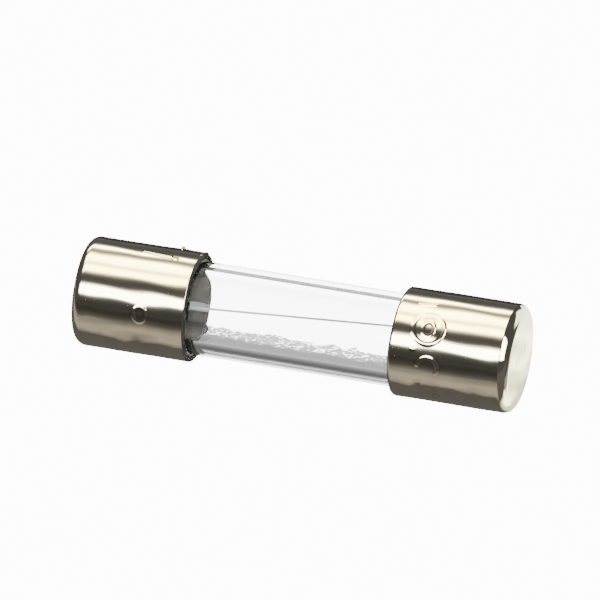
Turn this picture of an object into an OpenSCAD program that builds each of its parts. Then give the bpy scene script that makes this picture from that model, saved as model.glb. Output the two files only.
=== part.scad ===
// Miniature cartridge fuse with a glass body and two metal end caps.
// The fuse lies along X with its centre at the origin. +Z is up, and all sizes are millimetres.
// Left is the -X end and right is the +X end.

/* [Overall] */
// Length over the two end caps
fuse_l = 20.5; // [17:0.1:32]
// Outside diameter of the end caps
cap_d = 5; // [4.1:0.05:7]

/* [End caps] */
// Length of each cap along the fuse
cap_l = 5.5; // [4.5:0.1:7]
// Thickness of the drawn metal, on the side and on the end
cap_wall = 0.25; // [0.2:0.01:0.35]
// Outside radius of the corner between the cap's side and its end
cap_corner_r = 0.3; // [0.25:0.05:0.5]
// Inside radius of that corner
cap_cavity_corner_r = 0.1; // [0.05:0.01:0.2]
// Rounding of the outer edge at the cap's open rim
cap_rim_round = 0.15; // [0.03:0.01:0.18]

/* [Glass tube] */
// Thickness of the glass
tube_wall = 0.6; // [0.45:0.05:0.75]
// Fire-polished rounding of the tube's two rims
tube_polish = 0.15; // [0.05:0.01:0.2]

/* [Cement] */
// How far the bead squeezed out round the glass laps onto the cap's rim
cement_bead_lap = 0.04; // [0.02:0.01:0.1]

/* [Solder] */
// Depth of solder between the cap's end and the tube's end
solder_seat = 0.35; // [0.25:0.05:0.6]
// How far the solder reaches into the bore where it meets the glass
solder_edge = 0.25; // [0.21:0.01:0.6]
// Height of the solder's dome beyond that edge
solder_dome = 0.45; // [0.2:0.05:0.8]

/* [Fuse wire] */
// Diameter of the fuse wire
wire_d = 0.1; // [0.05:0.005:0.12]
// Room between the wire and the glass where it comes out of the bore
wire_clearance = 0.03; // [0.02:0.01:0.08]
// Length of each tail, folded back along the outside of the glass
wire_tail_l = 1.6; // [0.8:0.1:3]
// Room all round a folded tail, between it and the glass, the cap and the cement
wire_tail_gap = 0.01; // [0.01:0.005:0.03]
// Angle about X of the wire's place on the left rim, from +Y towards +Z
wire_angle_left = 160; // [0:5:355]
// Angle about X of the wire's place on the right rim, from +Y towards +Z
wire_angle_right = 9; // [0:1:355]

/* [Hidden] */
$fn = 96;

LEFT = -1;
RIGHT = 1;
cut_over = 0.1; // how far a cutting shape runs past the face that it cuts

cap_r = cap_d / 2;
cap_bore_r = cap_r - cap_wall;
cap_end_x = fuse_l / 2;
cap_rim_x = cap_end_x - cap_l;
cap_floor_x = cap_end_x - cap_wall;

cement_gap = wire_d + 2 * wire_tail_gap; // radial gap between the glass and the cap
cement_bead_r = cement_gap + cement_bead_lap;

tube_r = cap_bore_r - cement_gap;
tube_bore_r = tube_r - tube_wall;
tube_end_x = cap_floor_x - solder_seat;

solder_rim_x = tube_end_x - solder_edge;
solder_dome_r = (tube_bore_r ^ 2 + solder_dome ^ 2) / (2 * solder_dome);

wire_r = wire_d / 2;
wire_bend_r = 1.15 * wire_r; // the wire swells a little where it is folded
wire_facets = 32;
wire_bore_r = tube_bore_r - wire_clearance - wire_r; // centre line where the wire leaves the bore
wire_tail_r = tube_r + cement_gap / 2;               // centre line of the folded tails
wire_fold_x = tube_end_x + wire_clearance + wire_r;  // plane in which the wire crosses the tube's end

// ---- Flat profiles, drawn as [distance from the axis, place along X] for the right-hand end ----

// The sliver outside a corner's arc. The corner is at [r, x], and inward says which way the solid lies.
module corner_waste(corner, inward, radius) {
    difference() {
        translate([
            corner[0] - (inward[0] > 0 ? cut_over : radius),
            corner[1] - (inward[1] > 0 ? cut_over : radius)
        ]) square(radius + cut_over);
        translate(corner + radius * inward) circle(radius);
    }
}

module cap_cavity_profile() {
    difference() {
        translate([0, cap_rim_x - cut_over]) square([cap_bore_r, cap_floor_x - cap_rim_x + cut_over]);
        corner_waste([cap_bore_r, cap_floor_x], [-1, -1], cap_cavity_corner_r);
    }
}

module cap_profile() {
    difference() {
        translate([0, cap_rim_x]) square([cap_r, cap_l]);
        cap_cavity_profile();
        corner_waste([cap_r, cap_end_x], [-1, -1], cap_corner_r);
        corner_waste([cap_r, cap_rim_x], [-1, 1], cap_rim_round);
    }
}

// The whole tube, because both of its rims are alike
module tube_profile() {
    difference() {
        translate([tube_bore_r, -tube_end_x]) square([tube_wall, 2 * tube_end_x]);
        for (end = [LEFT, RIGHT]) {
            corner_waste([tube_r, end * tube_end_x], [-1, -end], tube_polish);
            corner_waste([tube_bore_r, end * tube_end_x], [1, -end], tube_polish);
        }
    }
}

// Solder fills the end of the cap, wraps the tube's polished rim and domes into its bore.
module solder_profile() {
    difference() {
        union() {
            intersection() {
                cap_cavity_profile();
                translate([0, tube_end_x - tube_polish]) square([cap_bore_r, solder_seat + tube_polish]);
            }
            intersection() {
                translate([0, solder_rim_x - solder_dome + solder_dome_r]) circle(solder_dome_r);
                translate([0, solder_rim_x - solder_dome])
                    square([tube_bore_r, tube_end_x - solder_rim_x + solder_dome]);
            }
        }
        tube_profile();
    }
}

// Cement fills the gap round the glass, and a round bead of it stands at the cap's rim.
module cement_profile() {
    translate([tube_r, cap_rim_x]) square([cement_gap, tube_end_x - tube_polish - cap_rim_x]);
    intersection() {
        translate([tube_r, cap_rim_x]) circle(cement_bead_r);
        translate([tube_r, cap_rim_x - cement_bead_r]) square(cement_bead_r);
    }
}

// ---- Placing ----

// Turns a profile about the fuse's axis, at the right-hand end or mirrored to the left.
module turn(side) {
    mirror([side == LEFT ? 1 : 0, 0, 0]) rotate([0, 90, 0]) rotate_extrude() children();
}

// The point at a place along X, a distance from the axis and an angle about it.
function around(x, r, angle) = [x, r * cos(angle), r * sin(angle)];

// A length of round wire from one point to another
module rod(from, to) {
    way = to - from;
    translate(from) rotate([0, acos(way[2] / norm(way)), atan2(way[1], way[0])])
        cylinder(r = wire_r, h = norm(way), $fn = wire_facets);
}

function wire_angle(side) = side == LEFT ? wire_angle_left : wire_angle_right;

function wire_end_points(side) = [
    around(side * wire_fold_x, wire_bore_r, wire_angle(side)),
    around(side * wire_fold_x, wire_tail_r, wire_angle(side)),
    around(side * (wire_fold_x - wire_tail_l), wire_tail_r, wire_angle(side))
];

// The ball that rounds a fold. Its seam is turned away from both of the rods that meet in it, which is
// outwards (1) where the tail starts and inwards (-1) where the wire leaves the bore.
module fold_ball(side, r, seam) {
    rotate([wire_angle(side), 0, 0]) translate([side * wire_fold_x, r, 0])
        rotate([0, 0, atan2(seam, side)]) sphere(wire_bend_r, $fn = wire_facets);
}

// The wire runs from rim to rim across the bore, and each end folds over the glass.
module wire_shape() {
    left = wire_end_points(LEFT);
    right = wire_end_points(RIGHT);
    route = [left[2], left[1], left[0], right[0], right[1], right[2]];
    for (i = [0 : len(route) - 2]) rod(route[i], route[i + 1]);
    for (side = [LEFT, RIGHT]) {
        fold_ball(side, wire_tail_r, 1);
        fold_ball(side, wire_bore_r, -1);
    }
}

// The room under the cap for one folded tail, cut from the cement and the solder
module wire_slot(side) {
    slot_w = wire_d + 2 * wire_tail_gap;
    slot_l = wire_tail_l + wire_bend_r + wire_tail_gap;
    mirror([side == LEFT ? 1 : 0, 0, 0])
        rotate([wire_angle(side), 0, 0])
            translate([wire_fold_x + wire_bend_r - slot_l, tube_r - wire_d, -slot_w / 2])
                cube([slot_l, cement_gap + wire_d + cut_over, slot_w]);
}

// ---- Sub-parts ----

module glass_tube() color([0.86, 0.93, 0.92, 0.35]) turn(RIGHT) tube_profile();

module end_cap(side) color([0.79, 0.76, 0.7]) turn(side) cap_profile();

module fuse_wire() color([0.62, 0.61, 0.6]) wire_shape();

module solder(side) {
    color([0.64, 0.65, 0.66]) difference() {
        turn(side) solder_profile();
        wire_shape();
        wire_slot(side);
    }
}

module cement(side) {
    color([0.84, 0.83, 0.77]) difference() {
        turn(side) cement_profile();
        wire_slot(side);
    }
}

glass_tube();
end_cap(LEFT);  // end_cap_left
end_cap(RIGHT);  // end_cap_right
fuse_wire();
solder(LEFT);  // solder_left
solder(RIGHT);  // solder_right
cement(LEFT);  // cement_left
cement(RIGHT);  // cement_right
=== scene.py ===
"""The looks of a miniature glass cartridge fuse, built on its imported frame.

The fuse lies along X with its centre at the origin, and +Z is up. Lengths are metres, written as
multiples of MM. An angle about the fuse starts at the front (-Y) and goes up over the top (+Z).
"""

import math

import bpy
import numpy as np
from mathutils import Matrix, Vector


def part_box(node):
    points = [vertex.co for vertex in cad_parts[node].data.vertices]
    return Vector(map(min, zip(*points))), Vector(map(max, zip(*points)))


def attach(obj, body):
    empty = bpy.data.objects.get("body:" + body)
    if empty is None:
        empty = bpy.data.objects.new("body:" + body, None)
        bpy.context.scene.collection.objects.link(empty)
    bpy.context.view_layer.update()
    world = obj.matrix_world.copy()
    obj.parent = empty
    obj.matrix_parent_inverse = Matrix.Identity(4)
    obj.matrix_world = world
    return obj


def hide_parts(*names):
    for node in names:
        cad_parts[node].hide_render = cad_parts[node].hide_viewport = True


bl_info = {
    "name": "Glass Cartridge Fuse",
    "version": (1, 0, 0),
    "blender": (4, 5, 0),
    "location": "View3D > Sidebar > Fuse",
    "description": "Adds the glass, caps, wire, solder, cement and stage of a small cartridge fuse",
    "category": "Add Mesh",
}

MM = 0.001
LEFT = -1
RIGHT = 1
SIDES = {LEFT: "left", RIGHT: "right"}
ROOT = "root"
SKIN_GAP = 0.004 * MM  # kept between two pieces that touch, so that their faces don't coincide
TINY = 1e-9

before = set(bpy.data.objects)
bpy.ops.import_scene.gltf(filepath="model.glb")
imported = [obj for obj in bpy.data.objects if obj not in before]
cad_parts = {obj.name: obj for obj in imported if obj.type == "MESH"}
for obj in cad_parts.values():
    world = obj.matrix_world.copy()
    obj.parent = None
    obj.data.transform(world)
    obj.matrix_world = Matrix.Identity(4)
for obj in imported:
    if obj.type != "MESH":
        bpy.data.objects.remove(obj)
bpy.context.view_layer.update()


# ---- Sizes read from the frame ----


def node_points(node):
    """The points of a CAD node's mesh, as an array of (x, y, z)."""
    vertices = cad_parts[node].data.vertices
    points = np.empty(len(vertices) * 3)
    vertices.foreach_get("co", points)
    return points.reshape(-1, 3)


def radii(node):
    """How far each point of a CAD node lies from the X axis: the root of y squared plus z squared."""
    return np.hypot(*node_points(node)[:, 1:].T)


def wire_angle_on_rim(side):
    """The angle of the folded wire on one rim, from the wire's points outside the glass."""
    points = node_points("fuse_wire")
    outside = (radii("fuse_wire") > TUBE_R) & (points[:, 0] * side > 0)
    middle = points[outside].mean(axis=0)
    return math.atan2(middle[2], -middle[1])


CAP_R = radii("end_cap_right").max()
CAP_BORE_R = radii("solder_right").max()
CAP_END_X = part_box("end_cap_right")[1].x
CAP_RIM_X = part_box("end_cap_right")[0].x
CAP_FLOOR_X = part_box("solder_right")[1].x
TUBE_R = radii("glass_tube").max()
TUBE_BORE_R = radii("glass_tube").min()
TUBE_END_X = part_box("glass_tube")[1].x
SOLDER_DOME_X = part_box("solder_right")[0].x


# ---- Settings ----


def length(name, description, default):
    """A setting in metres."""
    return bpy.props.FloatProperty(
        name=name,
        description=description,
        default=default,
        min=0,
        precision=6,
        subtype="DISTANCE",
        unit="LENGTH",
    )


def angle(name, description, default):
    """A setting that is an angle, whose default is given in degrees."""
    return bpy.props.FloatProperty(
        name=name, description=description, default=math.radians(default), subtype="ANGLE", unit="ROTATION"
    )


def colour(name, description, default):
    """A setting that is a linear colour."""
    return bpy.props.FloatVectorProperty(
        name=name, description=description, default=default, min=0, soft_max=1, size=3, subtype="COLOR"
    )


def number(name, description, default):
    """A setting that is a plain number."""
    return bpy.props.FloatProperty(name=name, description=description, default=default)


class CapSettings(bpy.types.PropertyGroup):
    """Sizes and finish of the two end caps."""

    corner_depth: length("Corner depth", "How far the rounded corner reaches along the side", 0.465 * MM)
    corner_r: length("Corner width", "How far the rounded corner reaches over the end", 0.46 * MM)
    cavity_corner_r: length("Inner corner radius", "Radius of that corner inside the cap", 0.1 * MM)
    rim_round: length("Rim rounding", "Rounding of the outer edge at the open rim", 0.15 * MM)
    mark_height: length("Mark height", "How far the stamped marks stand out of the side", 0.019 * MM)
    mark_width: length("Mark width", "Width of a stamped mark's line", 0.15 * MM)
    swell: length("Swell", "How far the metal is pushed out round a mark", 0.012 * MM)
    burr: length("Burr", "Height of the torn spot on the left cap's rim", 0.14 * MM)
    dish: length("Dish", "How far the middle of the end is pressed in", 0.02 * MM)
    ripple: length("Ripple", "Height of the drawn metal's slow waves", 0.006 * MM)
    plating: colour("Plating", "Colour of the nickel plate", (0.74, 0.7, 0.62))
    tarnish: colour("Tarnish", "Colour of the film in the feet of the marks", (0.42, 0.3, 0.22))
    # Painted shade: the inner wall is coloured darker than the plate, for the shade inside the cap's mouth.
    inside: colour("Inside", "Colour of the cap's dull inner wall", (0.3, 0.3, 0.29))
    # Painted shade: the bare cut rim is coloured near black for the shade along the rim.
    cut_edge: colour("Cut edge with painted shade", "Colour of the bare, dull metal on the cut rim", (0.05, 0.048, 0.044))


class GlassSettings(bpy.types.PropertyGroup):
    """Sizes and finish of the glass tube."""

    polish: length("Fire polish", "Rounding of the tube's two rims", 0.15 * MM)
    ripple: length("Ripple", "Height of the drawn glass's slow waves", 0.0004 * MM)
    tint: colour("Tint", "Colour of the glass", (0.985, 0.995, 0.992))
    ior: number("IOR", "Index of refraction", 1.5)


class WireSettings(bpy.types.PropertyGroup):
    """Sizes and finish of the fuse wire."""

    diameter: length("Diameter", "Diameter of the wire", 0.1 * MM)
    clearance: length("Clearance", "Room between the wire and the tube's rim", 0.03 * MM)
    tail: length("Tail", "Length of each tail folded over the glass", 1.6 * MM)
    fold_r: length("Fold radius", "Radius of each fold, along the middle of the wire", 0.06 * MM)
    bow: length("Bow", "How far the middle of the wire hangs off the straight line", 0.03 * MM)
    metal: colour("Metal", "Colour of the tinned wire", (0.5, 0.5, 0.49))


class SolderSettings(bpy.types.PropertyGroup):
    """Sizes and finish of the solder in the caps."""

    edge: length("Edge depth", "How far the solder reaches into the bore at the glass", 0.25 * MM)
    frost: length("Frost", "Height of the grains on the solder's set surface", 0.01 * MM)
    metal: colour("Metal", "Colour of the solder", (0.6, 0.6, 0.61))


class CementSettings(bpy.types.PropertyGroup):
    """Sizes and finish of the cement at the caps' rims."""

    bead: length("Bead", "Radius of the bead at the cap's rim", 0.1 * MM)
    squeeze: number("Squeeze", "How many times longer than its radius the bead is where it ran out", 2.6)
    set_back: length("Set back", "How far inside the rim the cement stops elsewhere", 0.06 * MM)
    resin: colour("Resin", "Colour of the cement", (0.2, 0.187, 0.166))


class StageSettings(bpy.types.PropertyGroup):
    """The camera, floor and light."""

    azimuth: angle("Azimuth", "Where the camera stands, from the front towards the right-hand end", 16.4)
    elevation: angle("Elevation", "How high the camera stands", 33.2)
    distance: length("Distance", "From the camera to the fuse", 1000 * MM)
    view_width: length("View width", "What the picture spans at the fuse", 27.08 * MM)
    aim_right: number("Aim right", "Millimetres from the fuse's centre to the view's centre", -0.1)
    aim_up: number("Aim up", "Millimetres from the fuse's centre to the view's centre", 1.1)
    backdrop: number("Backdrop", "Brightness of the white floor and backdrop in the view", 13.0)
    through_glass: number("Backdrop through glass", "Brightness of the white seen through the glass", 18.0)
    edge_of_glass: number("Backdrop in the edge", "Brightness of the white seen in the glass's edge", 15.0)


# ---- Shapes ----


def arc(centre, radius, start, end, steps):
    """Points on a circle: the centre plus the radius times the cosine and sine of angles in degrees,
    spaced evenly from start to end."""
    turn = np.radians(np.linspace(start, end, steps))
    return np.array(centre) + radius * np.stack([np.cos(turn), np.sin(turn)], axis=1)


def around(columns):
    """Angles evenly spaced once about the axis, as one row."""
    return np.linspace(0, 2 * math.pi, columns, endpoint=False)[None, :]


def line(start, end, steps):
    """Points spaced evenly along the straight line from start to end."""
    return np.array(start) + np.subtract(end, start) * np.linspace(0, 1, steps)[:, None]


def outline(*pieces):
    """Joins lengths of outline, each point being (place along X, distance from X), and drops repeats."""
    points = np.concatenate(pieces)
    moved = np.linalg.norm(np.diff(points, axis=0), axis=1) > TINY
    return points[np.concatenate([[True], moved])]


def smooth_step(low, high, value):
    """0 below low, 1 above high, and the cubic 3t^2 - 2t^3 between them."""
    t = np.clip((value - low) / (high - low), 0, 1)
    return t * t * (3 - 2 * t)


def bell(value, middle, width):
    """A bell curve: e to the minus square of how many widths the value lies off the middle."""
    return np.exp(-(((value - middle) / width) ** 2))


def turned(x, r, about):
    """The point at a place along X, a distance from X and an angle about it: (x, -r cos, r sin)."""
    return np.stack([x + 0 * about, -r * np.cos(about), r * np.sin(about)], axis=-1)


# The waves of a ripple, as (waves round the tube, millimetres along X for one wave).
RIPPLE_WAVES = ((2, 9), (3, 6.5), (5, 4.2), (8, 3.1), (13, 4.6))


def ripple(x, about, seed):
    """Slow waves on a drawn tube, about 1 high: a sum of sines in the angle about X, each a whole number
    of waves round so that the seam closes, drifting slowly along X."""
    random = np.random.default_rng(seed)
    total = 0 * (x + about)
    for waves, along in RIPPLE_WAVES:
        phase, slant = random.uniform(0, 2 * math.pi), random.uniform(0.6, 1.4)
        twist = 2 * math.pi * slant * x / (along * MM)
        total = total + np.sin(waves * about + twist + phase) / math.sqrt(waves)
    return total


def surface_mesh(name, points, closed_rows=False, start_pole=False, end_pole=False, **masks):
    """A mesh from a grid of points. Columns run round and always close. Rows run along the outline, and
    close for a ring-shaped section. At a pole the whole row is one point, joined by a fan. Each mask is a
    grid of numbers, kept as an attribute of the points."""
    rows, columns = points.shape[:2]
    index = np.arange(rows * columns).reshape(rows, columns)
    nearer = index if closed_rows else index[:-1]
    further = np.roll(index, -1, axis=0) if closed_rows else index[1:]
    quads = np.stack(
        [nearer, np.roll(nearer, -1, axis=1), np.roll(further, -1, axis=1), further], axis=-1
    )
    if start_pole:
        quads = quads[1:]
    if end_pole:
        quads = quads[:-1]
    faces = [quads.reshape(-1, 4)]
    if start_pole:
        faces.append(np.stack([np.full(columns, index[0, 0]), np.roll(index[1], -1), index[1]], axis=-1))
    if end_pole:
        faces.append(np.stack([np.full(columns, index[-1, 0]), index[-2], np.roll(index[-2], -1)], axis=-1))
    used = np.zeros(index.size, bool)
    for corners in faces:
        used[corners] = True
    renumbered = np.cumsum(used) - 1
    mesh = bpy.data.meshes.new(name)
    listed = [face for corners in faces for face in renumbered[corners].tolist()]
    mesh.from_pydata(points.reshape(-1, 3)[used], [], listed)
    mesh.polygons.foreach_set("use_smooth", np.ones(len(mesh.polygons), bool))
    for key, mask in masks.items():
        values = np.broadcast_to(mask, index.shape).astype(np.float32).ravel()[used]
        mesh.attributes.new(key, "FLOAT", "POINT").data.foreach_set("value", values)
    return mesh


def face_outwards(mesh):
    """Turns every face round if the mesh's signed volume is negative. The volume is the sum over the
    triangles of a . (b x c) / 6."""
    mesh.calc_loop_triangles()
    corners = np.empty(len(mesh.loop_triangles) * 3, np.int32)
    mesh.loop_triangles.foreach_get("vertices", corners)
    points = np.empty(len(mesh.vertices) * 3)
    mesh.vertices.foreach_get("co", points)
    a, b, c = points.reshape(-1, 3)[corners.reshape(-1, 3)].transpose(1, 0, 2)
    if np.einsum("ij,ij->", a, np.cross(b, c)) < 0:
        mesh.flip_normals()


def add_piece(name, mesh, material, node):
    """Puts a finished mesh in the scene in place of its CAD node."""
    mesh.validate()
    face_outwards(mesh)
    mesh.materials.append(material)
    piece = bpy.data.objects.new(name, mesh)
    bpy.context.scene.collection.objects.link(piece)
    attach(piece, ROOT)
    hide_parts(node)
    return piece


# ---- Material helpers ----


def new_material(name):
    """A material with only a Principled BSDF and its output. Returns it, its node tree and the BSDF."""
    material = bpy.data.materials.new(name)
    material.use_nodes = True
    tree = material.node_tree
    return material, tree, tree.nodes["Principled BSDF"]


def fill(tree, node, inputs):
    """Fills a node's inputs with values or with other nodes' outputs."""
    for key, value in inputs.items():
        if isinstance(value, bpy.types.NodeSocket):
            tree.links.new(value, node.inputs[key])
        else:
            node.inputs[key].default_value = value


def put(tree, kind, inputs=None, **settings):
    """Adds a node, sets its properties and fills its inputs."""
    node = tree.nodes.new(kind)
    for key, value in settings.items():
        setattr(node, key, value)
    fill(tree, node, inputs or {})
    return node


def maths(tree, operation, first, second=0.0, third=0.0):
    """One Math node's output."""
    inputs = {0: first, 1: second, 2: third}
    return put(tree, "ShaderNodeMath", inputs, operation=operation).outputs[0]


def noise(tree, place, scale, detail, roughness=0.5, distortion=0.0):
    """One Noise Texture node's value."""
    inputs = {
        "Vector": place,
        "Scale": scale,
        "Detail": detail,
        "Roughness": roughness,
        "Distortion": distortion,
    }
    return put(tree, "ShaderNodeTexNoise", inputs).outputs["Fac"]


def stretched(tree, place, shares):
    """A place whose three parts are multiplied by three shares."""
    return put(tree, "ShaderNodeVectorMath", {0: place, 1: shares}, operation="MULTIPLY").outputs[0]


def in_millimetres(tree, place):
    """A place in metres, as millimetres."""
    return put(tree, "ShaderNodeVectorMath", {0: place, "Scale": 1 / MM}, operation="SCALE").outputs[0]


def blend_colour(tree, factor, first, second):
    """One Mix node's colour output: first where the factor is 0 and second where it is 1."""
    node = put(tree, "ShaderNodeMix", data_type="RGBA")
    sockets = {"Factor_Float": factor, "A_Color": first, "B_Color": second}
    for socket in node.inputs:
        value = sockets.get(socket.identifier)
        if isinstance(value, bpy.types.NodeSocket):
            tree.links.new(value, socket)
        elif value is not None:
            socket.default_value = value if isinstance(value, float) else (*value, 1.0)
    return next(socket for socket in node.outputs if socket.identifier == "Result_Color")


def between(tree, value, low, high):
    """A smooth step from 0 at low to 1 at high, or the other way round where low is the larger."""
    swap = low > high
    inputs = {
        "Value": value,
        "From Min": min(low, high),
        "From Max": max(low, high),
        "To Min": 1.0 if swap else 0.0,
        "To Max": 0.0 if swap else 1.0,
    }
    return put(tree, "ShaderNodeMapRange", inputs, interpolation_type="SMOOTHSTEP").outputs[0]


def window(tree, value, edges):
    """Rises smoothly from 0 to 1 between the first two edges, and falls back between the last two."""
    start, full, falling, end = edges
    return maths(tree, "MULTIPLY", between(tree, value, start, full), between(tree, value, end, falling))


def ramp(tree, value, stops):
    """A colour ramp, from a list of (place, colour) whose last place is where the range ends."""
    last = stops[-1][0]
    node = put(tree, "ShaderNodeValToRGB", {"Fac": maths(tree, "DIVIDE", value, last)})
    elements = node.color_ramp.elements
    elements.remove(elements[1])
    elements[0].position, elements[0].color = stops[0][0] / last, (*stops[0][1], 1)
    for place, shade in stops[1:]:
        elements.new(place / last).color = (*shade, 1)
    return node.outputs["Color"]


def drawn_lines_group():
    """Streaks along X left by drawing: noise whose place along X counts for little, so that each grain is
    stretched, mixed with fine pits. Puts out the height and a slow patchy mask."""
    if "Drawn lines" in bpy.data.node_groups:
        return bpy.data.node_groups["Drawn lines"]
    group = bpy.data.node_groups.new("Drawn lines", "ShaderNodeTree")
    group.interface.new_socket("Vector", in_out="INPUT", socket_type="NodeSocketVector")
    for name in ("Lines per mm", "Stretch", "Pits"):
        group.interface.new_socket(name, in_out="INPUT", socket_type="NodeSocketFloat")
    for name in ("Height", "Patches"):
        group.interface.new_socket(name, in_out="OUTPUT", socket_type="NodeSocketFloat")
    given = group.nodes.new("NodeGroupInput").outputs
    in_mm = in_millimetres(group, given["Vector"])
    flatten = put(group, "ShaderNodeCombineXYZ", {"X": given["Stretch"], "Y": 1.0, "Z": 1.0})
    lines = noise(group, stretched(group, in_mm, flatten.outputs[0]), given["Lines per mm"], 3.0, 0.6)
    pits = noise(group, in_mm, 14.0, 2.0)
    patches = noise(group, in_mm, 1.1, 3.0)
    rough = maths(group, "MULTIPLY", pits, given["Pits"])
    results = {"Height": maths(group, "ADD", lines, rough), "Patches": between(group, patches, 0.38, 0.66)}
    fill(group, group.nodes.new("NodeGroupOutput"), results)
    return group


def put_drawn_lines(tree, lines_per_mm, stretch, pits):
    """Places the drawn lines group on the object's own coordinates. Returns its height and its patches."""
    inputs = {
        "Vector": put(tree, "ShaderNodeTexCoord").outputs["Object"],
        "Lines per mm": lines_per_mm,
        "Stretch": stretch,
        "Pits": pits,
    }
    node = put(tree, "ShaderNodeGroup", inputs, node_tree=drawn_lines_group())
    return node.outputs["Height"], node.outputs["Patches"]


def patchy(tree, patches, shade, share):
    """A colour that drifts in slow patches to a share of itself."""
    return blend_colour(tree, patches, tuple(shade), tuple(share * part for part in shade))


def patchy_metal(name, shade, share, lines, roughness, bump):
    """Metal with draw lines (per mm, stretch, pits), whose colour drifts in patches to a share of itself,
    and whose roughness drifts from the first value to the second."""
    material, tree, shader = new_material(name)
    height, patches = put_drawn_lines(tree, *lines)
    low, high = roughness
    drift = maths(tree, "MULTIPLY_ADD", patches, high - low, low)
    base = patchy(tree, patches, shade, share)
    fill(tree, shader, {"Base Color": base, "Metallic": 1.0, "Roughness": drift})
    add_bump(tree, shader, height, bump)
    return material


def attribute(tree, name):
    """A mask kept on a mesh's points."""
    return put(tree, "ShaderNodeAttribute", attribute_name=name).outputs["Fac"]


def add_bump(tree, shader, height, depth):
    """Joins a height to the shader's normal through a Bump node."""
    bump = put(tree, "ShaderNodeBump", {"Height": height, "Distance": depth, "Strength": 1.0})
    tree.links.new(bump.outputs["Normal"], shader.inputs["Normal"])


# ---- End caps ----


def stroke(distance, width, height):
    """A rounded ridge over a line: full height on the line, falling to 0 a little past half the width."""
    return height * (1 - smooth_step(0.2 * width, 0.75 * width, distance))


def ring_mark(a, b, radius_a, radius_b):
    """Distance from an oval line: its mean radius times how far a point's scaled radius is from 1."""
    scaled = np.hypot(a / radius_a, b / radius_b)
    return abs(scaled - 1) * (radius_a + radius_b) / 2


def bar_mark(a, b, slant, reach):
    """Distance from a straight stroke through the middle, at a slant in degrees and of a half length."""
    along = a * math.cos(math.radians(slant)) + b * math.sin(math.radians(slant))
    across = -a * math.sin(math.radians(slant)) + b * math.cos(math.radians(slant))
    return np.hypot(np.maximum(abs(along) - reach, 0), across)


def arch_mark(a, b, radius, middle, half_angle):
    """Distance from part of a circle: the part lies within an angle either side of its middle direction."""
    direction = np.arctan2(b, a) - math.radians(middle)
    off_middle = abs((direction + math.pi) % (2 * math.pi) - math.pi)
    on_circle = abs(np.hypot(a, b) - radius)
    ends = [math.radians(middle + sign * half_angle) for sign in (-1, 1)]
    to_ends = [np.hypot(a - radius * math.cos(end), b - radius * math.sin(end)) for end in ends]
    return np.where(off_middle < math.radians(half_angle), on_circle, np.minimum(*to_ends))


# Each mark: its place in from the cap's end in mm, its angle about the cap, its shape with its sizes, and
# its height as a share of the usual. Sizes are mm and degrees. The shapes are rings, bars, arches and pips.
CAP_MARKS = {
    LEFT: (
        (3.29, 17.3, ring_mark, (0.29, 0.35), 1.0),
        (3.47, 91, bar_mark, (-6, 0.62), 1.3),
        (4.32, 87.5, bar_mark, (0, 0.05), 1.1),
        (4.25, 122, bar_mark, (90, 0.12), 6.0),
        (3.6, 200, ring_mark, (0.4, 0.4), 1.0),
    ),
    RIGHT: (
        (3.86, 50.5, ring_mark, (0.72, 0.7), 0.8),
        (3.86, 50.5, ring_mark, (0.26, 0.34), 0.7),
        (3.7, 9.5, arch_mark, (0.48, 70, 100), 1.0),
        (4.43, 27.5, bar_mark, (0, 0.03), 1.0),
        (4.14, -9.3, bar_mark, (0, 0.02), 1.0),
        (3.33, -27.6, bar_mark, (20, 0.05), 0.9),
        (4.22, 79, bar_mark, (12, 0.36), 0.9),
        (3.7, 190, bar_mark, (90, 0.4), 1.0),
    ),
}
SWELL_REACH = 0.7 * MM

# The four bars on each end face, in mm: where they stand across it, how far up, and their size. The share
# is of a mark's height.
END_BAR_PLACES = (-0.63, -0.21, 0.21, 0.63)
END_BAR_UP = 0.4
END_BAR_REACH = 0.35
END_BAR_WIDTH = 0.2
END_BAR_SHARE = 0.4

# How far each rim is cut back, as (even amount in mm, height of its wave in mm, angle of the wave's top).
RIM_CUTS = {LEFT: (0.09, 0.02, 34), RIGHT: (-0.06, 0.03, 160)}
RIM_RAGGED = 0.008
RIM_FADE = 0.5 * MM  # how far in from the rim the cut dies away
# The share of the rim's rounding that is bare metal also carries the painted shade.
SHADED_CUT_EDGE_SHARE = {LEFT: 0.85, RIGHT: 0.35}  # how much of the rim's rounding is bare metal

# The torn spot on the left rim: its angle, half its width, how far it reaches in, and its shape.
TEAR_ANGLE = math.radians(110)
TEAR_WIDTH = math.radians(6)
TEAR_REACH = 0.35 * MM
TEAR_OUT = 0.9
TEAR_ALONG = 1.5

CAP_COLUMNS = 384
CAP_ROWS = {"end": 42, "corner": 17, "side": 136, "rim": 9, "lip": 4, "wall": 14, "cavity": 5, "floor": 4}
LIP_R = 0.03 * MM


def stamped_relief(side, x, about, settings):
    """Height of the stamped marks over the cap's unrolled side, and how deep each point lies in the foot
    of a mark. Under each mark the metal also swells slowly, as a bell curve of its distance."""
    height, foot, swell = 0 * (x + about), 0 * (x + about), 0 * (x + about)
    for inset, place, shape, sizes, share in CAP_MARKS[side]:
        a = x - side * (CAP_END_X - inset * MM)
        turn = about - math.radians(place)
        b = CAP_R * ((turn + math.pi) % (2 * math.pi) - math.pi)
        distance = MM * shape(a / MM, b / MM, *sizes)
        width = settings.mark_width
        height = np.maximum(height, stroke(distance, width, share * settings.mark_height))
        foot = np.maximum(foot, bell(distance, 0.8 * width, 0.35 * width))
        swell = swell + bell(np.hypot(a, b), 0, SWELL_REACH)
    return height + settings.swell * swell, foot


def end_bars(y, z):
    """Height of four short upright bars on the end face, as a share of a mark's height."""
    height = 0 * y
    for place in END_BAR_PLACES:
        distance = bar_mark(y / MM - place, z / MM - END_BAR_UP, 90, END_BAR_REACH)
        height = np.maximum(height, stroke(distance, END_BAR_WIDTH, END_BAR_SHARE))
    return height


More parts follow.
